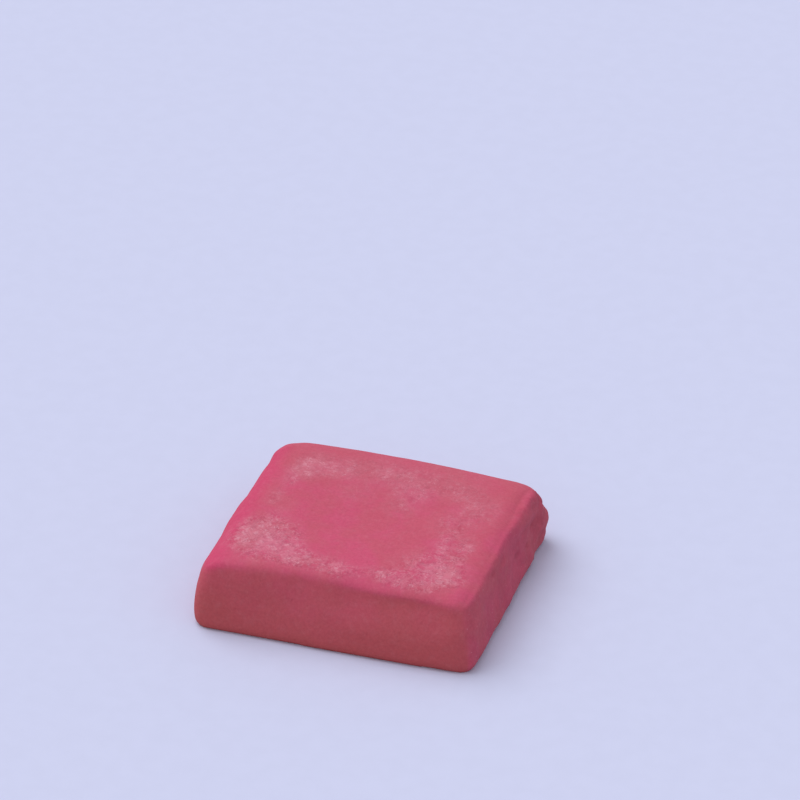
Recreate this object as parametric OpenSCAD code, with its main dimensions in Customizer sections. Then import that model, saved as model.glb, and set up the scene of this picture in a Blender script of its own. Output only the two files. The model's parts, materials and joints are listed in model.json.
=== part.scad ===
// Kneaded eraser: one slab of soft putty rubber, pressed in a mould and torn off its strip
// at the right-hand end.
//
// Millimetres. The origin is the centre of the face it rests on. +X runs along its length
// to the torn end, +Y to the back and +Z up.

/* [Slab] */
// Length, from the left side to the torn end
slab_length = 41.6; // [32:0.1:60]
// Depth, from the front to the back
slab_depth = 37.6; // [28:0.1:54]
// Thickness at the rubbed border of the top face
slab_thickness = 10; // [8:0.25:15]
// Radius that the foot turns in with, where the sides meet the resting face
foot_radius = 0.7; // [0.5:0.1:2]

/* [Corners in plan] */
// Radius of the front left corner
front_left_radius = 2.4; // [1.5:0.1:8]
// Radius of the front right corner
front_right_radius = 2; // [1.5:0.1:8]
// Radius of the back right corner
back_right_radius = 1.6; // [1.5:0.1:9]
// Radius of the back left corner
back_left_radius = 4.8; // [1.5:0.1:8]
// Radius of all four corners where the shoulder meets the flat of the top
top_corner_radius = 3.2; // [1.5:0.1:6]
// How far the left side closes in from front to back
left_taper = 1; // [0:0.1:3]
// How much further the torn end reaches at the back than at the front
torn_skew = 1.1; // [0:0.1:3]
// How far the back edge falls away towards the torn end
back_skew = 1.6; // [0:0.1:3]
// How far the middle of the back edge bows out
back_bow = 1.2; // [0:0.1:2]

/* [Sides] */
// How far the front side leans in between its foot and its shoulder
front_lean = 2.6; // [0:0.1:3]
// How far the left side leans in
left_lean = 0.2; // [0:0.1:3]
// How far the back side leans in
back_lean = 0.4; // [0:0.1:3]
// How far the torn end leans in
torn_lean = 1.3; // [0:0.1:3]
// How far the soft sides swell between the foot and the shoulder
side_swell = 0.25; // [0:0.05:1]

/* [Shoulders] */
// Width of the shoulder between the front side and the flat of the top
front_shoulder = 2.6; // [1:0.1:6]
// How far the front shoulder drops
front_drop = 1; // [0.8:0.1:5]
// Width of the left shoulder
left_shoulder = 4.6; // [1:0.1:6]
// How far the left shoulder drops
left_drop = 3.8; // [0.8:0.1:5]
// Width of the back shoulder
back_shoulder = 4.4; // [1:0.1:6]
// How far the back shoulder drops
back_drop = 2.8; // [0.8:0.1:5]
// Width of the shoulder above the torn end
torn_shoulder = 3.4; // [1:0.1:6]
// How far the shoulder above the torn end drops
torn_drop = 1.5; // [0.8:0.1:5]

/* [Surface] */
// Depth of the shallow dish inside the rubbed border
dish_depth = 0.3; // [0:0.05:1]
// Share of the way out from the centre at which the dish has risen to its border
dish_reach = 0.8; // [0.5:0.05:0.95]
// How far hand pressure has pushed the soft sides in and out
side_wave = 0.27; // [0:0.01:0.8]
// Length of those waves
side_wave_length = 11; // [6:0.5:24]
// How far a thumb has pressed the front shoulder back
thumb_press = 1.2; // [0:0.1:2]
// Width of the thumb's mark
thumb_width = 26; // [10:1:30]
// Distance from the left side to the middle of the mark
thumb_place = 15; // [8:0.5:28]
// How far the top face rolls up and down
top_wave = 0.12; // [0:0.02:0.4]

/* [Torn end] */
// How far the crags of the torn end stand in and out
crag_height = 0.3; // [0:0.05:1]
// Distance between the larger crags
crag_pitch = 4.2; // [2.5:0.1:8]
// Share of their height that the finer crags have
fine_crag_share = 0.45; // [0:0.05:0.8]
// How far the lump at the back corner of the torn end stands out from it
lump_height = 1.2; // [0:0.1:3]
// Radius of that lump, where it has sunk away to nothing
lump_radius = 6.5; // [2:0.1:8]

/* [Hidden] */

// Pieces of each straight side and each corner, in the order that a ring runs: back right
// corner, back side, back left corner, left side, front left corner, front side, front right
// corner, torn end. The torn end has more, for its crags.
CORNER_STEPS = 9;
SIDE_STEPS = [18, 14, 20, 34];
// Rings of the foot, the sides, the shoulders and the top, from the ground up
FOOT_RINGS = 3;
WALL_RINGS = 11;
SHOULDER_RINGS = 8;
TOP_RINGS = 13;
// Ratio between the wavelengths of the large and the fine crags
FINE_CRAG_RATIO = 0.42;
// Ratio between the width and the height of a crag
CRAG_SQUASH = 0.7;
// How squarely a side faces +X before it counts as torn
TORN_FACING = 0.45;
// How far the first ring lies under the resting face, which a plane then cuts off flat
SUNK = 0.1;
// Where the lump sits: share of the half depth, and share of the thickness
LUMP_DEPTH_SHARE = 0.98;
LUMP_RISE_SHARE = 0.68;
// Where in the noise each kind of unevenness is read, so that no two are alike
WAVE_SEED = [3, 1, 2];
ROLL_SEED = [5, 5, 5];
FINE_CRAG_SEED = [7, 3, 5];
// Constants that scatter a lattice point's number
SCATTER = [127.1, 311.7, 74.7];
SCATTER_GAIN = 43758.5453;

half_length = slab_length / 2;
half_depth = slab_depth / 2;
lump_place = [half_length, LUMP_DEPTH_SHARE * half_depth, LUMP_RISE_SHARE * slab_thickness];

// One side of the slab, as [lean, shoulder width, shoulder drop, swell]
function right_side() = [torn_lean, torn_shoulder, torn_drop, 0];
function back_side() = [back_lean, back_shoulder, back_drop, side_swell];
function left_side() = [left_lean, left_shoulder, left_drop, side_swell];
function front_side() = [front_lean, front_shoulder, front_drop, side_swell];

// ---- Noise ----

function mix(a, b, t) = a + (b - a) * t;
function ease(t) = let (c = min(max(t, 0), 1)) c * c * (3 - 2 * c);

// A repeatable number from 0 to 1 for a lattice point
function lattice(p) = let (h = sin(p * SCATTER) * SCATTER_GAIN) h - floor(h);

// Smooth noise from -1 to 1 with a lattice of unit cells
function noise(p) =
    let (
        cell = [floor(p.x), floor(p.y), floor(p.z)],
        t = [for (v = p - cell) ease(v)],
        edge = function (y, z) mix(lattice(cell + [0, y, z]), lattice(cell + [1, y, z]), t.x),
        face = function (z) mix(edge(0, z), edge(1, z), t.y)
    )
    2 * mix(face(0), face(1), t.z) - 1;

// ---- Profile of a side, from the resting face up to the flat of the top ----

// Each gives [inset from the widest outline, height] at a share t of the way along it
function foot_point(t) = [foot_radius * (1 - sin(90 * t)), mix(-SUNK, foot_radius, 1 - cos(90 * t))];

function wall_point(side, t) =
    let (top = slab_thickness - side[2])
    [side[0] * t - side[3] * sin(180 * t), mix(foot_radius, top, t)];

function shoulder_point(side, t) =
    [side[0] + side[1] * (1 - cos(90 * t)), slab_thickness - side[2] * (1 - sin(90 * t))];

function profile_point(side, ring) =
    ring < FOOT_RINGS ? foot_point(ring / FOOT_RINGS)
    : ring < FOOT_RINGS + WALL_RINGS ? wall_point(side, (ring - FOOT_RINGS) / WALL_RINGS)
    : shoulder_point(side, (ring - FOOT_RINGS - WALL_RINGS) / SHOULDER_RINGS);

// ---- Rings ----

// The smooth ring at one level: [point, outward normal] at each station, anticlockwise from
// the torn end. Each side is drawn in by its own profile, and each corner blends two sides.
function smooth_ring(ring) =
    let (
        sides = [for (side = [right_side(), back_side(), left_side(), front_side()])
            profile_point(side, ring)],
        reach = [half_length, half_depth, half_length, half_depth],
        radii = [back_right_radius, back_left_radius, front_left_radius, front_right_radius],
        climb = pow(max(0, ring - FOOT_RINGS) / (WALL_RINGS + SHOULDER_RINGS), 2),
        corners = [for (c = [0:3])
            corner_arc(c, sides, reach, mix(radii[c], top_corner_radius, climb))]
    )
    [for (c = [0:3], station = concat(corners[c], straight(corners[c], corners[(c + 1) % 4], c)))
        station];

// Corner c lies between side c and side c + 1
function corner_arc(c, sides, reach, r) =
    let (
        a = sides[c],
        b = sides[(c + 1) % 4],
        out_a = [cos(90 * c), sin(90 * c)],
        out_b = [-sin(90 * c), cos(90 * c)],
        centre = out_a * (reach[c] - a[0] - r) + out_b * (reach[(c + 1) % 4] - b[0] - r)
    )
    [for (j = [0:CORNER_STEPS])
        let (
            angle = 90 * j / CORNER_STEPS,
            out = out_a * cos(angle) + out_b * sin(angle),
            place = centre + out * r,
            height = a[1] * pow(cos(angle), 2) + b[1] * pow(sin(angle), 2)
        )
        [[place.x, place.y, height], out]];

// The stations between the end of one corner and the start of the next
function straight(from, to, c) =
    let (a = from[CORNER_STEPS], b = to[0], steps = SIDE_STEPS[c])
    [for (j = [1:steps - 1]) [mix(a[0], b[0], j / steps), a[1]]];

// ---- What handling and tearing did to the smooth slab ----

// 0 at the foot and on the top, 1 on the sides
function side_share(z) = ease(z / foot_radius) * ease(2 * (slab_thickness - z) / slab_thickness);

// The crags, which run a little steeper than they run wide
function crags(p) =
    let (q = [p.x, p.y, p.z * CRAG_SQUASH] / crag_pitch)
    noise(q) + fine_crag_share * (1 - 2 * abs(noise(q / FINE_CRAG_RATIO + FINE_CRAG_SEED)));

function lump(p) =
    let (d = norm(p - lump_place) / lump_radius)
    lump_height * pow(max(0, 1 - d * d), 2);

// How far a point of the sides moves along its outward normal
function side_push(p, out) =
    let (torn = ease(2 * (out.x - TORN_FACING)))
    side_share(p.z) * (
        side_wave * (1 - torn) * noise(p / side_wave_length + WAVE_SEED)
        + torn * crag_height * crags(p)
        + lump(p)
    );

// The plan is a little out of square
function out_of_square(p) =
    let (
        u = p.x / half_length,
        right = (1 + u) / 2,
        back = (1 + p.y / half_depth) / 2
    )
    p + [
        left_taper * (1 - right) * back + torn_skew * right * (back - 1 / 2),
        back * (back_bow * (1 - u * u) - back_skew * right),
        0
    ];

// How far the thumb has moved a point back: most at the top of the front side
function thumb_push(p, out) =
    let (aside = 2 * (p.x + half_length - thumb_place) / thumb_width)
    thumb_press * ease(-out.y) * ease(p.z / slab_thickness) * pow(max(0, 1 - aside * aside), 2);

function worked_point(station) =
    let (p = station[0], out = station[1], push = side_push(p, out))
    out_of_square(p + [out.x * push, out.y * push + thumb_push(p, out), 0]);

// ---- The top face ----

// Rings shrink from the inner edge of the shoulder to the centre. share is 1 at that edge.
function top_point(edge, share) =
    let (
        p = [edge.x * share, edge.y * share],
        roll = top_wave * noise([p.x, p.y, 0] / side_wave_length + ROLL_SEED),
        dish = dish_depth * (1 - ease(share / dish_reach))
    )
    [p.x, p.y, edge.z - dish + roll * (1 - share * share)];

// ---- The slab ----

side_rings = [for (ring = [0:FOOT_RINGS + WALL_RINGS + SHOULDER_RINGS])
    [for (station = smooth_ring(ring)) worked_point(station)]];
top_edge = side_rings[len(side_rings) - 1];
top_rings = [for (j = [1:TOP_RINGS - 1])
    [for (edge = top_edge) top_point(edge, 1 - j / TOP_RINGS)]];
rings = concat(side_rings, top_rings);
stations = len(top_edge);
last_ring = len(rings) - 1;

points = concat(
    [for (ring = rings, p = ring) p],
    [top_point([0, 0, slab_thickness], 0), [0, 0, -SUNK]]
);
crown = len(points) - 2;
base = len(points) - 1;
low = [min([for (p = points) p.x]), min([for (p = points) p.y]), 0];
high = [max([for (p = points) p.x]), max([for (p = points) p.y]), 0];

// Faces run clockwise seen from outside
function index(ring, station) = ring * stations + station % stations;
bands = [for (r = [0:last_ring - 1], s = [0:stations - 1])
    each [
        [index(r, s), index(r + 1, s), index(r + 1, s + 1)],
        [index(r, s), index(r + 1, s + 1), index(r, s + 1)]
    ]];
crown_fan = [for (s = [0:stations - 1]) [index(last_ring, s), crown, index(last_ring, s + 1)]];
base_fan = [for (s = [0:stations - 1]) [index(0, s + 1), base, index(0, s)]];

// Everything above the resting face, which cuts that face flat
module above_the_table() {
    linear_extrude(2 * slab_thickness)
        square(2 * (slab_length + slab_depth), center = true);
}

module eraser() {
    color([0.77, 0.34, 0.44])
        translate(-(low + high) / 2)
            intersection() {
                polyhedron(points = points, faces = concat(bands, crown_fan, base_fan));
                above_the_table();
            }
}

eraser();
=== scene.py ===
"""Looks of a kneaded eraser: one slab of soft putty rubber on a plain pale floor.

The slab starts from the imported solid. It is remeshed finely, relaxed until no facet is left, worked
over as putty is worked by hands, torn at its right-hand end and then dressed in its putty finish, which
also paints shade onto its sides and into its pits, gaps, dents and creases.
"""

from __future__ import annotations

import json
import logging
import math
from dataclasses import dataclass, field
from enum import Enum, IntEnum

import bmesh
import bpy
import numpy as np
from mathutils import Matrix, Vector

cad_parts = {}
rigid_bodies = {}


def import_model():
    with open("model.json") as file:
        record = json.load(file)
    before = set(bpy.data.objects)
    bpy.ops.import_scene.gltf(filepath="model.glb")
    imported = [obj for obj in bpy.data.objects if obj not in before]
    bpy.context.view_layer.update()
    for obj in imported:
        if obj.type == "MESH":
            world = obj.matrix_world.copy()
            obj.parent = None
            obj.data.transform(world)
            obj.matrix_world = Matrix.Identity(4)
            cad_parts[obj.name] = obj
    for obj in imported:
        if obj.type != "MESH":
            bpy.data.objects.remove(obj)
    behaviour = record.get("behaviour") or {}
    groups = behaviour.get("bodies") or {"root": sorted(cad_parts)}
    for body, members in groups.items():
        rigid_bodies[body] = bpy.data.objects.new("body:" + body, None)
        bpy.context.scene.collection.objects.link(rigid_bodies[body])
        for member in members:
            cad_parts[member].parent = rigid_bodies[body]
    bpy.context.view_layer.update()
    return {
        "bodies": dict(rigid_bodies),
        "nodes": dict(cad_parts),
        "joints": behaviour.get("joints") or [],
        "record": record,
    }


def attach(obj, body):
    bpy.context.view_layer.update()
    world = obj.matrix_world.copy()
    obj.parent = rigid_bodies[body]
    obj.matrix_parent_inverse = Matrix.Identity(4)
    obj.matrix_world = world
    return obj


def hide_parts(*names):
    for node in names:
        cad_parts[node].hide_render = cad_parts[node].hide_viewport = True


MM = 0.001
LOG = logging.getLogger("eraser")

Array = np.ndarray
Colour = tuple[float, float, float]
Point = tuple[float, float, float]


def srgb(red: int, green: int, blue: int) -> Colour:
    """Turns a screen colour into the linear colour that a shader takes.

    Args:
        red: Red from 0 to 255.
        green: Green from 0 to 255.
        blue: Blue from 0 to 255.

    Returns:
        The linear colour.
    """

    def line(value: int) -> float:
        """Undoes the screen curve for one channel."""
        v = value / 255
        return v / 12.92 if v <= 0.04045 else ((v + 0.055) / 1.055) ** 2.4

    return line(red), line(green), line(blue)


def smooth(values: Array, low: float, high: float) -> Array:
    """Rises smoothly from 0 to 1.

    Args:
        values: Where to read the curve.
        low: The value that gives 0.
        high: The value that gives 1. It may be the smaller of the two.

    Returns:
        The curve at each value.
    """
    t = np.clip((values - low) / (high - low), 0.0, 1.0)
    return t * t * (3.0 - 2.0 * t)


class Seed(IntEnum):
    """Which noise is which, so that no two of them rise and fall together."""

    KNEADING = 3
    FINE_GRAIN = 5
    PITS = 7
    CRUMB_WARP = 8
    TEAR_SWELL = 9
    DENTS = 13
    CRUMBS = 19
    CRUMB_GAPS = 23


class Grain:
    """Repeatable noise over points in millimetres."""

    PRIMES = (374761393, 668265263, 2147483629)
    SEED_STEP = 7919
    CHANNEL_STEP = 104729
    MIXER = 1274126177
    MASK = 0xFFFFFFFF
    FAR = 9.0

    def __init__(self, seed: Seed) -> None:
        """Keeps the seed that sets this grain apart from the others."""
        self.seed = seed

    def scatter(self, cell: Array, channel: int) -> Array:
        """Gives each lattice cell its own number from 0 to 1.

        Args:
            cell: Whole-number cells, one row each.
            channel: Which of a cell's independent numbers to give.

        Returns:
            One number for each cell.
        """
        mixed = (self.seed * self.SEED_STEP + channel * self.CHANNEL_STEP) & self.MASK
        total = np.full(len(cell), mixed, dtype=np.int64)
        for axis, prime in enumerate(self.PRIMES):
            total = (total + cell[:, axis] * prime) & self.MASK
            total = ((total ^ (total >> 13)) * self.MIXER) & self.MASK
        total ^= total >> 16
        return total / self.MASK

    def swell(self, points: Array, pitch: float) -> Array:
        """Soft gradient noise.

        Args:
            points: Places in millimetres.
            pitch: Distance between its hills in millimetres.

        Returns:
            Noise from about -1 to 1 at each place.
        """
        place = points / pitch
        cell = np.floor(place).astype(np.int64)
        local = place - cell
        fade = local**3 * (local * (local * 6 - 15) + 10)
        total = np.zeros(len(points))
        for corner in np.ndindex(2, 2, 2):
            step = np.array(corner)
            slope = np.stack([self.scatter(cell + step, k) for k in range(3)], axis=1) * 2 - 1
            weight = np.prod(np.where(step, fade, 1 - fade), axis=1)
            total += weight * np.sum(slope * (local - step), axis=1)
        return total * 1.6

    def layers(self, points: Array, pitch: float, count: int, keep: float = 0.5) -> Array:
        """Noise of several scales, each half as large as the one before.

        Args:
            points: Places in millimetres.
            pitch: Distance between the hills of the largest layer.
            count: How many layers there are.
            keep: How much of one layer's height the next one has.

        Returns:
            Noise from about -1 to 1 at each place.
        """
        parts = [keep**k * self.swell(points + 17.3 * k, pitch / 2**k) for k in range(count)]
        return sum(parts) / sum(keep**k for k in range(count))

    def cells(self, points: Array, pitch: float) -> tuple[Array, Array, Array]:
        """Distances to scattered seeds, as crumbs and pits have.

        Args:
            points: Places in millimetres.
            pitch: Distance between seeds in millimetres.

        Returns:
            The distance to the nearest seed, that to the next one, both as shares of the pitch, and
            a number from 0 to 1 that belongs to the nearest seed.
        """
        place = points / pitch
        home = np.floor(place).astype(np.int64)
        first = np.full(len(points), self.FAR)
        second = np.full(len(points), self.FAR)
        tag = np.zeros(len(points))
        for corner in np.ndindex(3, 3, 3):
            cell = home + np.array(corner) - 1
            jitter = np.stack([self.scatter(cell, k) for k in range(3)], axis=1)
            gap = np.linalg.norm(cell + jitter - place, axis=1)
            nearer = gap < first
            second = np.where(nearer, first, np.minimum(second, gap))
            tag = np.where(nearer, self.scatter(cell, 5), tag)
            first = np.where(nearer, gap, first)
        return first, second, tag


# ---- Shader expressions ----


class Blend(Enum):
    """Ways in which two colours are laid over each other."""

    MIX = "MIX"
    MULTIPLY = "MULTIPLY"


class Signal:
    """A number that varies over a surface, so that shader maths reads as plain expressions."""

    def __init__(self, book: "NodeBook", socket: bpy.types.NodeSocket) -> None:
        """Wraps an output socket of a node in that book."""
        self.book = book
        self.socket = socket

    def _math(self, operation: str, *values: "Signal | float") -> "Signal":
        """Adds one Math node.

        Args:
            operation: The Math node's operation.
            values: Its inputs in order.

        Returns:
            The node's result.
        """
        made = self.book.node("ShaderNodeMath", {"operation": operation}, dict(enumerate(values)))
        return Signal(self.book, made.outputs[0])

    def __add__(self, other: "Signal | float") -> "Signal":
        """Sum."""
        return self._math("ADD", self, other)

    def __radd__(self, other: float) -> "Signal":
        """Sum with a number on the left."""
        return self._math("ADD", other, self)

    def __sub__(self, other: "Signal | float") -> "Signal":
        """Difference."""
        return self._math("SUBTRACT", self, other)

    def __rsub__(self, other: float) -> "Signal":
        """Difference from a number on the left."""
        return self._math("SUBTRACT", other, self)

    def __mul__(self, other: "Signal | float") -> "Signal":
        """Product."""
        return self._math("MULTIPLY", self, other)

    def __rmul__(self, other: float) -> "Signal":
        """Product with a number on the left."""
        return self._math("MULTIPLY", other, self)

    def __abs__(self) -> "Signal":
        """Size without its sign."""
        return self._math("ABSOLUTE", self)

    def clamped(self) -> "Signal":
        """The same number kept from 0 to 1."""
        return self._math("MINIMUM", self._math("MAXIMUM", self, 0.0), 1.0)

    def step(self, low: float, high: float) -> "Signal":
        """Rises smoothly from 0 at low to 1 at high.

        Args:
            low: The value that gives 0.
            high: The value that gives 1.

        Returns:
            The smooth step.
        """
        made = self.book.node(
            "ShaderNodeMapRange",
            {"interpolation_type": "SMOOTHSTEP"},
            {"Value": self, "From Min": low, "From Max": high},
        )
        return Signal(self.book, made.outputs["Result"])


class NodeBook:
    """One material's nodes, and the few ways in which this scene adds to them."""

    def __init__(self, name: str) -> None:
        """Starts an empty material of that name."""
        self.material = bpy.data.materials.new(name)
        self.material.use_nodes = True
        self.tree = self.material.node_tree
        self.tree.nodes.clear()

    def node(
        self,
        kind: str,
        settings: dict[str, object] | None = None,
        inputs: dict[str | int, object] | None = None,
    ) -> bpy.types.Node:
        """Adds any node.

        Args:
            kind: The node's type.
            settings: Its settings, which are set first.
            inputs: Values, colours or links by socket.

        Returns:
            The new node.
        """
        made = self.tree.nodes.new(kind)
        for name, value in (settings or {}).items():
            setattr(made, name, value)
        for name, value in (inputs or {}).items():
            socket = made.inputs[name]
            if isinstance(value, Signal):
                self.tree.links.new(value.socket, socket)
            elif isinstance(value, bpy.types.NodeSocket):
                self.tree.links.new(value, socket)
            elif isinstance(value, tuple) and socket.type == "RGBA":
                socket.default_value = (*value, 1.0)
            else:
                socket.default_value = value
        return made

    def place(self) -> bpy.types.NodeSocket:
        """The point on the surface, in the object's own metres."""
        return self.node("ShaderNodeTexCoord").outputs["Object"]

    def attribute(self, name: str) -> Signal:
        """A number that the mesh holds under that name."""
        return Signal(self, self.node("ShaderNodeAttribute", {"attribute_name": name}).outputs["Fac"])

    def noise(
        self,
        place: bpy.types.NodeSocket,
        pitch: float,
        detail: float = 2.0,
        rough: float = 0.5,
        distortion: float = 0.0,
    ) -> Signal:
        """Noise from 0 to 1 over the surface.

        Args:
            place: Where to read it.
            pitch: Distance between its spots in millimetres.
            detail: How many finer layers it has.
            rough: How strong those are.
            distortion: How far it is swirled.

        Returns:
            The noise.
        """
        values = {
            "Vector": place,
            "Scale": 1 / (pitch * MM),
            "Detail": detail,
            "Roughness": rough,
            "Distortion": distortion,
        }
        made = self.node("ShaderNodeTexNoise", {"noise_dimensions": "3D"}, values)
        return Signal(self, made.outputs["Fac"])

    def mix(
        self,
        under: Colour | bpy.types.NodeSocket,
        over: Colour | bpy.types.NodeSocket,
        share: Signal | float,
        way: Blend = Blend.MIX,
    ) -> bpy.types.NodeSocket:
        """Lays one colour over another.

        Args:
            under: The colour underneath.
            over: The colour on top.
            share: How much of the top colour shows.
            way: How the two combine.

        Returns:
            The mixed colour.
        """
        made = self.node("ShaderNodeMix", {"data_type": "RGBA", "blend_type": way.value})
        self.set_mix(made, under, over, share)
        return made.outputs["Result_Color"] if "Result_Color" in made.outputs else made.outputs[2]

    def set_mix(self, made: bpy.types.Node, under: object, over: object, share: object) -> None:
        """Fills the colour sockets of a Mix node, which share their names with its other kinds.

        Args:
            made: The Mix node.
            under: The colour underneath.
            over: The colour on top.
            share: How much of the top colour shows.
        """
        for index, value in ((0, share), (6, under), (7, over)):
            socket = made.inputs[index]
            if isinstance(value, Signal):
                self.tree.links.new(value.socket, socket)
            elif isinstance(value, bpy.types.NodeSocket):
                self.tree.links.new(value, socket)
            elif isinstance(value, tuple):
                socket.default_value = (*value, 1.0)
            else:
                socket.default_value = value

    def finish(self, shader: bpy.types.NodeSocket) -> bpy.types.Material:
        """Joins a shader to the material's surface.

        Args:
            shader: The shader's socket.

        Returns:
            The finished material.
        """
        self.node("ShaderNodeOutputMaterial", {}, {"Surface": shader})
        return self.material


# ---- Finishes ----


@dataclass(frozen=True)
class ChalkFilm:
    """What the shader knows about the chalky film at a place, each from 0 to about 1."""

    spread: Signal
    crisp: Signal
    clump: Signal
    chalky: Signal
    wisp: Signal
    worm: Signal


@dataclass(frozen=True)
class PuttyFinish:
    """Raspberry putty rubber, with the chalky film that rubbing leaves on it, and painted shade on its
    sides, in its hollows and in its creases. Sizes in millimetres.
    """

    body: Colour = srgb(204, 85, 115)
    pink: Colour = srgb(210, 82, 122)
    tan: Colour = srgb(198, 89, 110)
    flush: Colour = srgb(208, 69, 112)
    # painted shade: the browner colour of the sides, the most on the front face
    painted_side_shade: Colour = srgb(195, 90, 102)
    grain: Colour = (0.90, 0.86, 0.88)
    # painted shade for creases and bare patches in the chalk
    crease_shade: Colour = (0.80, 0.70, 0.76)
    chalk: Colour = srgb(222, 153, 171)
    speck: Colour = srgb(234, 172, 188)
    # painted shade for pores, pits, gaps and dents
    pit: Colour = srgb(146, 46, 66)
    bruise: Colour = (0.84, 0.80, 0.86)
    roughness: float = 0.82
    specular: float = 0.25
    drift_pitch: float = 6.0
    drift_share: float = 0.5
    tan_from: float = 3.0
    tan_to: float = 13.0
    tan_share: float = 0.6
    border_share: float = 0.85
    grain_pitch: float = 0.4
    mottle_pitch: float = 2.6
    mottle_share: float = 0.45
    crisp_from: float = 8.0
    crisp_to: float = -8.0
    clump_pitch: float = 1.9
    clump_share: float = 0.36
    fleck_pitch: float = 0.7
    fleck_share: float = 0.62
    wisp_pitch: float = 0.8
    wisp_thinness: float = 11.0
    worm_pitch: float = 1.1
    worm_thinness: float = 13.0
    haze_pitch: float = 0.9
    grit_pitch: float = 0.36
    pore_pitch: float = 0.7
    hollow_shade_share: float = 0.45
    relief_pitch: float = 0.45
    relief_strength: float = 0.35
    relief_depth: float = 0.06

    def build(self) -> bpy.types.Material:
        """Builds the putty's material.

        Returns:
            The material.
        """
        book = NodeBook("putty")
        place = book.place()
        torn = book.attribute("torn")
        colour = self.base(book, place)
        mottle = book.noise(place, self.mottle_pitch, detail=3.0).step(0.64, 0.36)
        colour = book.mix(colour, self.bruise, torn * mottle * self.mottle_share, Blend.MULTIPLY)
        film = self.film(book, place)
        colour = self.chalked(book, place, colour, film)
        pore = book.noise(place, self.pore_pitch).step(0.66, 0.76)
        colour = self.speckled(book, place, colour, film, pore)
        shader = book.node(
            "ShaderNodeBsdfPrincipled",
            {},
            {
                "Base Color": colour,
                "Roughness": self.roughness,
                "Specular IOR Level": self.specular,
                "Normal": self.relief(book, place, film, pore),
            },
        )
        return book.finish(shader.outputs["BSDF"])

    def base(self, book: NodeBook, place: bpy.types.NodeSocket) -> bpy.types.NodeSocket:
        """The putty's colour: pink and tan drifts, a cleaner rim, painted shade that browns the sides and a
        fine grain.

        Args:
            book: The material's nodes.
            place: Where to read the colour.

        Returns:
            The colour.
        """
        drift = book.noise(place, self.drift_pitch, detail=3.0, rough=0.55).step(0.38, 0.62)
        colour = book.mix(self.body, book.mix(self.tan, self.pink, drift), self.drift_share)
        far = self.back(book, place, self.tan_from, self.tan_to)
        colour = book.mix(colour, self.tan, far * self.tan_share)
        colour = book.mix(colour, self.flush, book.attribute("rim") * self.border_share)
        # painted shade: the sides are browned, the front face the most
        colour = book.mix(colour, self.painted_side_shade, book.attribute("side") * self.border_share)
        grain = book.noise(place, self.grain_pitch, detail=3.0, rough=0.7).step(0.3, 0.7)
        return book.mix(colour, self.grain, grain, Blend.MULTIPLY)

    @staticmethod
    def back(book: NodeBook, place: bpy.types.NodeSocket, low: float, high: float) -> Signal:
        """Rises from 0 to 1 between two places, counted towards the back.

        Args:
            book: The material's nodes.
            place: Where to read it.
            low: Where it is 0, in millimetres.
            high: Where it is 1, in millimetres.

        Returns:
            The rise.
        """
        axes = book.node("ShaderNodeSeparateXYZ", {}, {"Vector": place}).outputs
        return Signal(book, axes["Y"]).step(low * MM, high * MM)

    def film(self, book: NodeBook, place: bpy.types.NodeSocket) -> ChalkFilm:
        """Breaks the rubbed strokes up into clumps and flecks, which are the crispest in front.

        Args:
            book: The material's nodes.
            place: Where to read it.

        Returns:
            The film.
        """
        bloom = book.attribute("bloom")
        spread = bloom.step(0.02, 0.35)
        crisp = 0.55 + 0.6 * self.back(book, place, self.crisp_from, self.crisp_to)
        clump = book.noise(place, self.clump_pitch, detail=3.0, rough=0.6).step(0.3, 0.7)
        fleck = book.noise(place, self.fleck_pitch, detail=3.0, rough=0.65, distortion=1.2).step(0.34, 0.66)
        uneven = (clump - 0.5) * self.clump_share + (fleck - 0.5) * self.fleck_share
        chalky = (bloom + spread * crisp * uneven).clamped()
        return ChalkFilm(spread, crisp, clump, chalky, self.wisps(book, place), self.worms(book, place))

    def chalked(
        self, book: NodeBook, place: bpy.types.NodeSocket, colour: bpy.types.NodeSocket, film: ChalkFilm
    ) -> bpy.types.NodeSocket:
        """Lays the chalk over the putty, lets bare patches show through it, and darkens these and the
        creases with painted shade.

        Args:
            book: The material's nodes.
            place: Where to read it.
            colour: The putty's own colour.
            film: The chalky film.

        Returns:
            The colour with the chalk on it.
        """
        haze = book.noise(place, self.haze_pitch, detail=3.0, rough=0.6).step(0.4, 0.8)
        cover = film.chalky * 0.37 + film.chalky * film.wisp * 0.45 + haze * 0.09
        colour = book.mix(colour, self.chalk, cover.clamped())
        # painted shade: the creases and the bare patches in the chalk are darkened
        shade = film.worm * (0.15 + 0.6 * film.spread * film.crisp) + (1 - film.clump) * film.spread * 0.26
        return book.mix(colour, self.crease_shade, shade.clamped(), Blend.MULTIPLY)

    def speckled(
        self,
        book: NodeBook,
        place: bpy.types.NodeSocket,
        colour: bpy.types.NodeSocket,
        film: ChalkFilm,
        pore: Signal,
    ) -> bpy.types.NodeSocket:
        """Strews pale grit over the putty, and paints shade into its pores, pits, gaps and dents.

        Args:
            book: The material's nodes.
            place: Where to read it.
            colour: The colour underneath.
            film: The chalky film, which holds more grit.
            pore: 1 in a pore and 0 beside it.

        Returns:
            The speckled colour.
        """
        grit = book.noise(place, self.grit_pitch, detail=1.0).step(0.72, 0.78)
        sparkle = grit * (film.chalky * 0.6 + book.attribute("torn") * 0.3 + 0.03)
        colour = book.mix(colour, self.speck, sparkle.clamped())
        # painted shade: pores, pits, gaps and dents are darkened
        sunk_shade = pore * (0.14 + film.chalky * 0.14) + book.attribute("hollow_shade") * self.hollow_shade_share
        return book.mix(colour, self.pit, sunk_shade.clamped())

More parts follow.
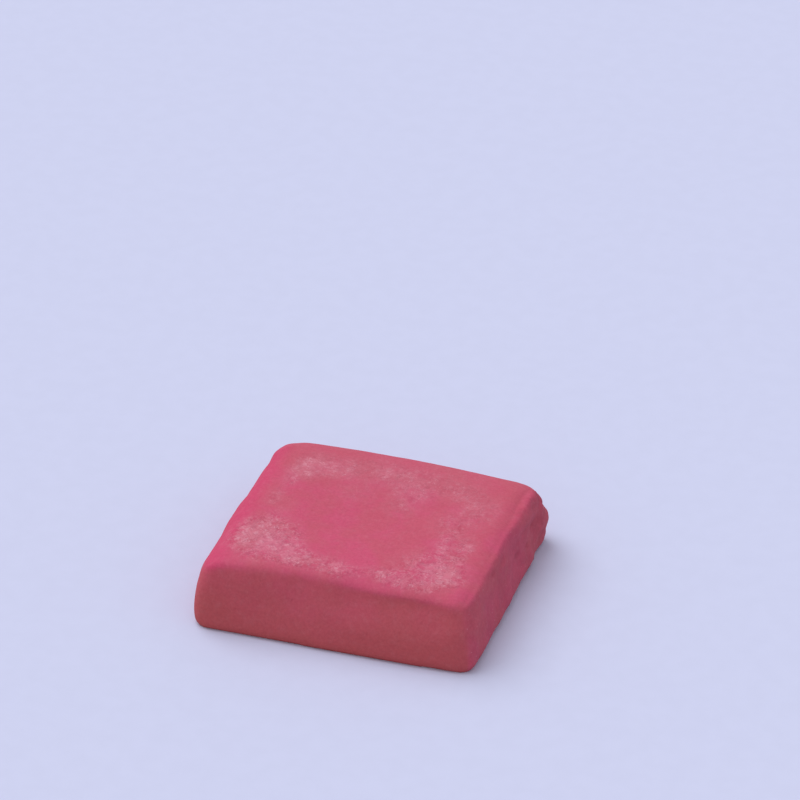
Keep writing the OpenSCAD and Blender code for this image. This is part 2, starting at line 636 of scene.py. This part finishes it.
    def relief(
        self, book: NodeBook, place: bpy.types.NodeSocket, film: ChalkFilm, pore: Signal
    ) -> bpy.types.NodeSocket:
        """The finest unevenness, which only tilts the light.

        Args:
            book: The material's nodes.
            place: Where to read it.
            film: The chalky film, which is rougher.
            pore: 1 in a pore and 0 beside it.

        Returns:
            The tilted normal.
        """
        tooth = book.noise(place, self.relief_pitch, detail=3.0, rough=0.6)
        height = tooth * (1.0 + 0.8 * film.spread - 0.6 * book.attribute("torn"))
        height = height + (film.wisp - film.worm) * 0.5 * film.spread - pore * 0.5
        values = {"Strength": self.relief_strength, "Distance": self.relief_depth * MM, "Height": height}
        return book.node("ShaderNodeBump", {}, values).outputs["Normal"]

    def wisps(self, book: NodeBook, place: bpy.types.NodeSocket) -> Signal:
        """Short curled streaks of chalk.

        Args:
            book: The material's nodes.
            place: Where to read them.

        Returns:
            1 on a streak and 0 beside it.
        """
        line = book.noise(place, self.wisp_pitch, detail=3.0, rough=0.55, distortion=1.2)
        ridge = 1 - abs(line - 0.5) * self.wisp_thinness
        broken = book.noise(place, 1.2).step(0.44, 0.6)
        return ridge.clamped() * broken

    def worms(self, book: NodeBook, place: bpy.types.NodeSocket) -> Signal:
        """Fine curled creases, which are darkened with painted shade.

        Args:
            book: The material's nodes.
            place: Where to read them.

        Returns:
            1 in a crease and 0 beside it.
        """
        line = book.noise(place, self.worm_pitch, detail=3.0, rough=0.6, distortion=1.6)
        ridge = 1 - abs(line - 0.5) * self.worm_thinness
        broken = book.noise(place, 0.9).step(0.42, 0.58)
        return ridge.clamped() * broken


@dataclass(frozen=True)
class FloorFinish:
    """Plain pale lavender studio paper, which throws a warmer light back up in front."""

    colour: Colour = srgb(208, 212, 242)
    front_bounce: Colour = srgb(192, 186, 168)
    side_bounce: Colour = srgb(194, 205, 217)
    roughness: float = 0.9
    specular: float = 0.1
    tooth_pitch: float = 3.0
    tooth_shade: float = 0.985
    seam_half_width: float = 10.0

    def build(self) -> bpy.types.Material:
        """Builds the floor's material.

        Returns:
            The material.
        """
        book = NodeBook("studio_paper")
        place = book.place()
        tooth = book.noise(place, self.tooth_pitch).step(0.3, 0.7)
        shade = book.mix(self.colour, tuple(self.tooth_shade * c for c in self.colour), tooth)
        axes = book.node("ShaderNodeSeparateXYZ", {}, {"Vector": place}).outputs
        beside = Signal(book, axes["X"]) + Signal(book, axes["Y"])
        seam = self.seam_half_width * MM
        bounce = book.mix(self.front_bounce, self.side_bounce, beside.step(-seam, seam))
        rays = book.node("ShaderNodeLightPath").outputs
        seen = [Signal(book, rays[f"Is {kind} Ray"]) for kind in ("Camera", "Glossy", "Transmission")]
        shade = book.mix(bounce, shade, sum(seen).clamped())
        values = {"Base Color": shade, "Roughness": self.roughness, "Specular IOR Level": self.specular}
        shader = book.node("ShaderNodeBsdfPrincipled", {}, values)
        return book.finish(shader.outputs["BSDF"])


# ---- The slab ----


@dataclass(frozen=True)
class Rub:
    """One stroke of chalky bloom across the top face, in millimetres."""

    start: tuple[float, float]
    end: tuple[float, float]
    half_width: float
    strength: float

    def cover(self, points: Array) -> Array:
        """How much of the bloom this stroke gives.

        Args:
            points: Places in millimetres.

        Returns:
            Its share from 0 to its strength at each place.
        """
        start, way = np.array(self.start), np.array(self.end) - np.array(self.start)
        from_start = points[:, :2] - start
        along = np.clip(from_start @ way / (way @ way), 0.0, 1.0)
        aside = np.linalg.norm(from_start - along[:, None] * way, axis=1)
        return self.strength * smooth(aside / self.half_width, 1.6, 0.1)


@dataclass(frozen=True)
class Push:
    """One soft push on the putty, in millimetres: a lump, or a dent where its height is below 0."""

    start: Point
    end: Point
    radius: float
    height: float

    def rise(self, points: Array) -> Array:
        """How far this push moves each place outwards.

        Args:
            points: Places in millimetres.

        Returns:
            Its rise in millimetres.
        """
        start, way = np.array(self.start), np.array(self.end) - np.array(self.start)
        from_start = points - start
        along = np.clip(from_start @ way / max(way @ way, 1e-9), 0.0, 1.0)
        reach = np.linalg.norm(from_start - along[:, None] * way, axis=1) / self.radius
        return self.height * smooth(reach, 1.0, 0.0)


@dataclass
class Slab:
    """The eraser's one piece of putty, in millimetres."""

    node: str = "eraser"
    name: str = "eraser_slab"
    voxel: float = 0.24
    relax_rounds: int = 16
    rim_from: float = 0.71
    rim_full: float = 0.86
    torn_facing: tuple[float, float] = (0.45, 0.85)
    torn_reach: tuple[float, float] = (12.0, 17.0)
    foot_height: float = 1.2
    knead_pitch: float = 5.5
    knead_depth: float = 0.07
    grain_pitch: float = 1.1
    grain_depth: float = 0.02
    dent_pitch: float = 2.4
    dent_depth: float = 0.07
    dent_rarity: float = 0.75
    tear_pitch: float = 3.0
    tear_depth: float = 0.15
    tear_fullness: float = 0.22
    tear_stretch: float = 0.5
    pit_pitch: float = 2.1
    pit_depth: float = 0.12
    pit_rarity: float = 0.72
    crumb_pitch: float = 1.9
    crumb_height: float = 0.2
    crumb_warp: float = 0.35
    crumb_warp_pitch: float = 1.4
    gap_pitch: float = 2.2
    crumbs_from: float = 4.0
    crumbs_to: float = 15.0
    rubs: list[Rub] = field(
        default_factory=lambda: [
            # the front, from the left corner to the right one
            Rub((-13.3, -8.6), (-12.9, -9.0), 4.5, 0.9),
            Rub((-14.9, -6.3), (-15.9, -9.8), 1.4, 0.7),
            Rub((-12.9, -8.3), (-8.0, -11.9), 2.1, 0.6),
            Rub((-8.6, -11.8), (-1.6, -12.9), 1.9, 0.45),
            Rub((-1.1, -13.6), (5.3, -12.0), 1.3, 0.25),
            Rub((5.7, -13.1), (12.0, -13.1), 1.4, 0.45),
            Rub((12.0, -9.9), (13.2, -11.2), 1.8, 1.0),
            Rub((13.3, -8.0), (15.1, -11.3), 1.5, 0.4),
            Rub((10.0, -9.8), (12.5, -9.7), 4.0, 0.4),
            # the right side, going back
            Rub((11.9, -4.5), (12.7, -1.9), 2.3, 0.35),
            Rub((14.4, -6.0), (14.8, -2.5), 1.2, 0.35),
            Rub((11.1, 2.0), (14.0, 5.3), 3.0, 0.3),
            Rub((11.0, 9.5), (13.9, 7.7), 2.4, 0.32),
            # the back, going left
            Rub((5.6, 12.6), (10.5, 11.8), 3.2, 0.18),
            Rub((-2.0, 12.2), (5.6, 9.5), 2.9, 0.31),
            Rub((2.9, 7.0), (3.0, 4.9), 2.6, 0.3),
            Rub((-5.5, 11.9), (1.9, 10.5), 2.6, 0.26),
            Rub((-12.1, 11.5), (-7.7, 10.7), 2.4, 0.55),
            Rub((-12.9, 9.2), (-12.7, 8.8), 2.2, 0.68),
            # the left side, coming forward
            Rub((-13.9, 9.0), (-14.2, 5.6), 1.3, 0.35),
            Rub((-15.1, 2.8), (-15.0, 0.4), 1.2, 0.25),
            Rub((-13.0, 0.0), (-14.2, -5.1), 1.9, 0.12),
            Rub((-3.8, 6.4), (-4.8, 5.6), 2.2, 0.2),
            # narrow bright streaks
            Rub((-9.0, -10.4), (-7.6, -12.5), 0.5, 0.7),
            Rub((-9.1, -12.4), (-7.9, -12.4), 0.35, 0.6),
            Rub((-5.9, -12.0), (-5.5, -12.7), 0.4, 0.6),
            Rub((12.3, -9.1), (14.3, -11.5), 0.45, 0.8),
            Rub((15.2, -11.8), (15.4, -12.1), 0.5, 1.0),
            Rub((14.7, -7.0), (15.0, -7.2), 0.35, 0.8),
            Rub((15.1, -3.0), (15.2, -3.6), 0.6, 0.5),
        ]
    )
    finger_marks: list[Push] = field(
        default_factory=lambda: [
            # the long press along the front shoulder, and the putty that it left standing
            Push((3.0, -17.0, 8.7), (13.5, -17.2, 8.7), 5.6, -0.8),
            Push((9.0, -17.3, 9.0), (12.0, -17.4, 9.0), 2.8, -0.2),
            Push((-12.5, -17.0, 8.6), (-9.0, -16.9, 8.6), 4.5, 0.38),
            # the front right corner, the left edge and the back left corner
            Push((19.0, -14.8, 8.6), (18.6, -16.4, 8.4), 3.4, -0.35),
            Push((-19.8, 13.5, 6.5), (-19.2, 15.6, 6.5), 4.0, -0.3),
            Push((-20.0, -3.4, 8.0), (-19.9, -0.2, 8.0), 4.2, 0.24),
            Push((-18.6, 13.8, 9.0), (-17.8, 15.0, 9.2), 2.6, 0.35),
            # the top beside the torn end
            Push((17.4, 8.8, 9.8), (17.9, 12.8, 9.8), 2.2, 0.09),
        ]
    )
    lumps: list[Push] = field(
        default_factory=lambda: [
            # fuller upper edge and foot
            Push((19.6, 5.0, 8.6), (19.8, 9.0, 8.4), 4.5, 0.18),
            Push((19.9, 10.5, 8.2), (20.0, 13.5, 8.0), 4.4, 0.35),
            Push((20.6, 8.0, 1.2), (20.4, 2.5, 1.2), 3.4, 0.45),
            # the lump at the back corner, with the notches above and below it
            Push((20.3, 15.2, 8.0), (20.2, 16.6, 7.4), 3.2, -0.32),
            Push((21.0, 16.3, 5.6), (21.0, 15.4, 5.6), 1.8, -0.42),
            Push((21.3, 16.2, 3.9), (21.2, 15.4, 3.7), 1.5, 0.22),
            Push((20.9, 16.2, 0.6), (21.0, 16.0, 0.9), 1.6, -0.25),
            Push((21.2, 16.3, 2.8), (21.2, 16.3, 2.8), 0.9, -0.18),
            # single crumbs and dents, going forward
            Push((20.7, 13.0, 4.4), (20.7, 12.6, 3.8), 2.0, 0.24),
            Push((20.0, 11.8, 5.8), (20.1, 10.4, 5.4), 1.3, -0.26),
            Push((19.7, 5.5, 8.2), (19.9, 13.0, 7.9), 1.8, 0.2),
            Push((19.7, 11.6, 8.0), (19.7, 12.8, 7.8), 1.1, -0.16),
            Push((19.8, 6.4, 6.8), (19.8, 7.8, 6.8), 1.2, -0.14),
            Push((19.7, 3.2, 6.3), (19.7, 4.6, 6.5), 1.1, -0.14),
            Push((19.3, -2.0, 7.7), (19.3, -1.0, 7.7), 0.9, -0.14),
            Push((19.5, -2.6, 6.9), (19.4, -1.2, 6.9), 0.9, 0.14),
            Push((20.3, 5.0, 3.6), (20.3, 6.4, 3.4), 1.0, 0.16),
            Push((20.4, 4.4, 2.1), (20.4, 5.8, 2.0), 0.9, 0.14),
            Push((20.0, -6.4, 3.1), (20.0, -5.6, 3.1), 0.9, 0.12),
        ]
    )

    def build(self, frame: dict) -> bpy.types.Object:
        """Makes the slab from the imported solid, and stands it in that solid's place.


        Returns:
            The slab.
        """
        slab = self.remesh(frame["nodes"][self.node])
        points, normals = self.relax(slab)
        torn = self.torn_share(points, normals)
        moved, hollow_shade = self.work(points, normals, torn)
        self.write(slab, moved)
        self.store(slab, "torn", torn)
        # painted shade for pits, gaps and dents
        self.store(slab, "hollow_shade", hollow_shade)
        self.store(slab, "rim", self.rim(moved, normals))
        # painted shade for the sides, the most on the front face
        self.store(slab, "side", self.side(normals, torn))
        self.store(slab, "bloom", self.bloom(moved, normals))
        return slab

    def remesh(self, source: bpy.types.Object) -> bpy.types.Object:
        """Copies the solid's mesh and turns it into a fine even one.

        Args:
            source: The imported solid's object.

        Returns:
            The new object.
        """
        mesh = source.data.copy()
        mesh.materials.clear()
        raw = bpy.data.objects.new(self.name, mesh)
        bpy.context.scene.collection.objects.link(raw)
        weld = bmesh.new()
        weld.from_mesh(mesh)
        bmesh.ops.remove_doubles(weld, verts=weld.verts, dist=0.001 * MM)
        weld.to_mesh(mesh)
        weld.free()
        fine = raw.modifiers.new("fine", "REMESH")
        fine.mode = "VOXEL"
        fine.voxel_size = self.voxel * MM
        fine.use_smooth_shade = True
        graph = bpy.context.evaluated_depsgraph_get()
        made = bpy.data.meshes.new_from_object(raw.evaluated_get(graph))
        raw.modifiers.clear()
        raw.data = made
        made.name = self.name
        return raw

    @staticmethod
    def read(slab: bpy.types.Object) -> Array:
        """The mesh's points in millimetres."""
        flat = np.zeros(len(slab.data.vertices) * 3)
        slab.data.vertices.foreach_get("co", flat)
        return flat.reshape(-1, 3) / MM

    @staticmethod
    def write(slab: bpy.types.Object, points: Array) -> None:
        """Moves the mesh's points to those places in millimetres."""
        slab.data.vertices.foreach_set("co", (points * MM).ravel())
        slab.data.update()

    @staticmethod
    def normals(slab: bpy.types.Object) -> Array:
        """The mesh's point normals."""
        flat = np.zeros(len(slab.data.vertices) * 3, np.float32)
        slab.data.vertex_normals.foreach_get("vector", flat)
        return flat.reshape(-1, 3).astype(float)

    @staticmethod
    def store(slab: bpy.types.Object, name: str, values: Array) -> None:
        """Keeps one number for each point on the mesh under that name."""
        layer = slab.data.attributes.new(name, "FLOAT", "POINT")
        layer.data.foreach_set("value", values.astype(np.float32))

    def relax(self, slab: bpy.types.Object) -> tuple[Array, Array]:
        """Smooths the facets away, and keeps the resting face flat.

        Args:
            slab: The remeshed slab.

        Returns:
            Its points in millimetres and its normals.
        """
        points = self.read(slab)
        floor = points[:, 2].min()
        pairs = np.zeros(len(slab.data.edges) * 2, np.int32)
        slab.data.edges.foreach_get("vertices", pairs)
        pairs = pairs.reshape(-1, 2)
        count = np.bincount(pairs.ravel(), minlength=len(points)).astype(float)[:, None]
        resting = points[:, 2] < floor + self.voxel / 2
        for _ in range(self.relax_rounds):
            total = np.zeros_like(points)
            np.add.at(total, pairs[:, 0], points[pairs[:, 1]])
            np.add.at(total, pairs[:, 1], points[pairs[:, 0]])
            points = total / count
            points[resting, 2] = 0.0
        points[:, 2] = np.maximum(points[:, 2], 0.0)
        self.write(slab, points)
        return points, self.normals(slab)

    def torn_share(self, points: Array, normals: Array) -> Array:
        """How far each point belongs to the torn end, from 0 to 1."""
        return smooth(normals[:, 0], *self.torn_facing) * smooth(points[:, 0], *self.torn_reach)

    def work(self, points: Array, normals: Array, torn: Array) -> tuple[Array, Array]:
        """Moves the points as hands and tearing did.

        Args:
            points: The slab's points in millimetres.
            normals: Their normals.
            torn: How far each one belongs to the torn end.

        Returns:
            The moved points, and how much painted shade each gets for how deep it lies in a pit, gap or
            dent, from 0 to 1.
        """
        free = smooth(points[:, 2], 0.0, self.foot_height)
        near, _, tag = Grain(Seed.DENTS).cells(points, self.dent_pitch)
        dent = smooth(near, 0.2, 0.04) * (tag > self.dent_rarity) * smooth(normals[:, 2], 0.6, 0.9)
        knead = self.knead_depth * Grain(Seed.KNEADING).layers(points, self.knead_pitch, 3)
        grain = self.grain_depth * Grain(Seed.FINE_GRAIN).layers(points, self.grain_pitch, 3, 0.6)
        rip, hollow_shade = self.tear(points)
        marks = sum(mark.rise(points) for mark in self.finger_marks)
        push = (1 - torn) * (knead + grain - self.dent_depth * dent) + torn * rip + marks
        # painted shade for the pits, gaps and dents of the torn end and for the dents of the top face
        hollow_shade = np.maximum(torn * hollow_shade, 0.5 * (1 - torn) * dent)
        return points + normals * (free * push)[:, None], hollow_shade

    def tear(self, points: Array) -> tuple[Array, Array]:
        """What tearing did to the end face: soft swells, a few pits, and crumbs towards the back.

        Args:
            points: The slab's points in millimetres.

        Returns:
            How far each point moves out, in millimetres, and how much painted shade it gets for how deep it
            lies in a pit, gap or dent.
        """
        drawn = points * np.array([1.0, self.tear_stretch, 1.0])
        swell = self.tear_depth * Grain(Seed.TEAR_SWELL).layers(drawn, self.tear_pitch, 3, 0.45)
        near, _, tag = Grain(Seed.PITS).cells(drawn, self.pit_pitch)
        pit = smooth(near, 0.36, 0.06) * (tag > self.pit_rarity)
        warp = self.crumb_warp * Grain(Seed.CRUMB_WARP).swell(points, self.crumb_warp_pitch)
        near, further, _ = Grain(Seed.CRUMBS).cells(points + warp[:, None], self.crumb_pitch)
        share = smooth(points[:, 1], self.crumbs_from, self.crumbs_to)
        crumb = share * smooth(near, 0.75, 0.1)
        broken = smooth(Grain(Seed.CRUMB_GAPS).layers(points, self.gap_pitch, 2), -0.1, 0.4)
        gap = share * broken * smooth(further - near, 0.3, 0.0)
        rises = np.array([lump.rise(points) for lump in self.lumps])
        lumps = rises.sum(axis=0)
        # painted shade: the dents that the lumps sink, the pits and the gaps are darkened
        dent = smooth(rises.min(axis=0), -0.04, -0.3)
        crumbs = self.crumb_height * crumb - self.pit_depth * pit
        hollow_shade = np.clip(0.7 * pit + 0.7 * gap + 0.45 * dent, 0.0, 1.0)
        return self.tear_fullness + swell + lumps + crumbs, hollow_shade

    def rim(self, points: Array, normals: Array) -> Array:
        """How far each point belongs to the clean left or right border of the top face, from 0 to 1."""
        reach = np.maximum(-points[:, 0], 0.85 * points[:, 0]) / np.abs(points[:, 0]).max()
        ends = smooth(points[:, 1], 18.5, 13.0)
        return ends * smooth(reach, self.rim_from, self.rim_full) * smooth(normals[:, 2], 0.25, 0.75)

    @staticmethod
    def side(normals: Array, torn: Array) -> Array:
        """How much painted shade browns each point of the slab's sides, from 0 to 1: the most on the front
        face.
        """
        front = 0.35 + 0.65 * smooth(normals[:, 1], 0.0, -0.6)
        return smooth(normals[:, 2], 0.75, 0.2) * np.maximum(front * (1.0 - torn), 0.3 * torn)

    def bloom(self, points: Array, normals: Array) -> Array:
        """How chalky each point of the top face is, from 0 to 1."""
        up = smooth(normals[:, 2], 0.6, 0.88)
        total = 1.0 - np.prod([1.0 - rub.cover(points) for rub in self.rubs], axis=0)
        return up * total

    def dress(self, slab: bpy.types.Object) -> None:
        """Gives the slab its finish and ties it to the frame.

        Args:
            slab: The slab.
        """
        slab.data.materials.append(PuttyFinish().build())
        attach(slab, "root")
        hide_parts(self.node)


# ---- The studio ----


@dataclass
class Studio:
    """The floor, the light and the camera, in millimetres and degrees."""

    floor_half: float = 1500.0
    key_azimuth: float = 240.0
    key_elevation: float = 55.0
    key_softness: float = 50.0
    key_strength: float = 1.6
    fill_strength: float = 0.58
    azimuth: float = 16.64
    elevation: float = 32.83
    distance: float = 609.2
    aim: tuple[float, float, float] = (-9.61, 45.52, 0.0)
    lens: float = 180.0
    sensor: float = 36.0

    @staticmethod
    def direction(azimuth: float, elevation: float) -> Vector:
        """The unit vector towards that azimuth, counted from the front, and elevation."""
        a, e = math.radians(azimuth), math.radians(elevation)
        return Vector((math.sin(a) * math.cos(e), -math.cos(a) * math.cos(e), math.sin(e)))

    def build(self) -> None:
        """Sets up the floor, the light and the camera."""
        self.lay_floor()
        self.light()
        self.stand_camera()
        bpy.context.scene.view_settings.view_transform = "Standard"

    def lay_floor(self) -> None:
        """Lays one pale sheet under the slab."""
        half = self.floor_half * MM
        mesh = bpy.data.meshes.new("floor")
        corners = [(-half, -half, 0), (half, -half, 0), (half, half, 0), (-half, half, 0)]
        mesh.from_pydata(corners, [], [(0, 1, 2, 3)])
        floor = bpy.data.objects.new("floor", mesh)
        bpy.context.scene.collection.objects.link(floor)
        floor.data.materials.append(FloorFinish().build())

    def light(self) -> None:
        """Hangs one broad soft lamp, and fills the room with an even light."""
        lamp = bpy.data.lights.new("key", "SUN")
        lamp.energy = self.key_strength
        lamp.angle = math.radians(self.key_softness)
        key = bpy.data.objects.new("key", lamp)
        bpy.context.scene.collection.objects.link(key)
        towards = self.direction(self.key_azimuth, self.key_elevation)
        key.rotation_mode = "QUATERNION"
        key.rotation_quaternion = towards.to_track_quat("Z", "Y")
        world = bpy.data.worlds.new("room")
        world.use_nodes = True
        back = world.node_tree.nodes["Background"]
        back.inputs["Color"].default_value = (1.0, 1.0, 1.0, 1.0)
        back.inputs["Strength"].default_value = self.fill_strength
        bpy.context.scene.world = world

    def stand_camera(self) -> None:
        """Stands the camera where it looks down on the slab's front and torn end."""
        data = bpy.data.cameras.new("camera")
        data.lens = self.lens
        data.sensor_width = self.sensor
        data.clip_start = 0.01
        data.clip_end = 20.0
        camera = bpy.data.objects.new("camera", data)
        bpy.context.scene.collection.objects.link(camera)
        towards = self.direction(self.azimuth, self.elevation)
        camera.location = (Vector(self.aim) + towards * self.distance) * MM
        camera.rotation_mode = "QUATERNION"
        camera.rotation_quaternion = towards.to_track_quat("Z", "Y")
        bpy.context.scene.camera = camera


def main() -> None:
    """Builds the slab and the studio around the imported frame."""
    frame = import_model()
    slab = Slab()
    piece = slab.build(frame)
    slab.dress(piece)
    LOG.info("%s: %d points, %d faces", piece.name, len(piece.data.vertices), len(piece.data.polygons))
    Studio().build()


if __name__ == "__main__":
    logging.basicConfig(level=logging.INFO)
    main()
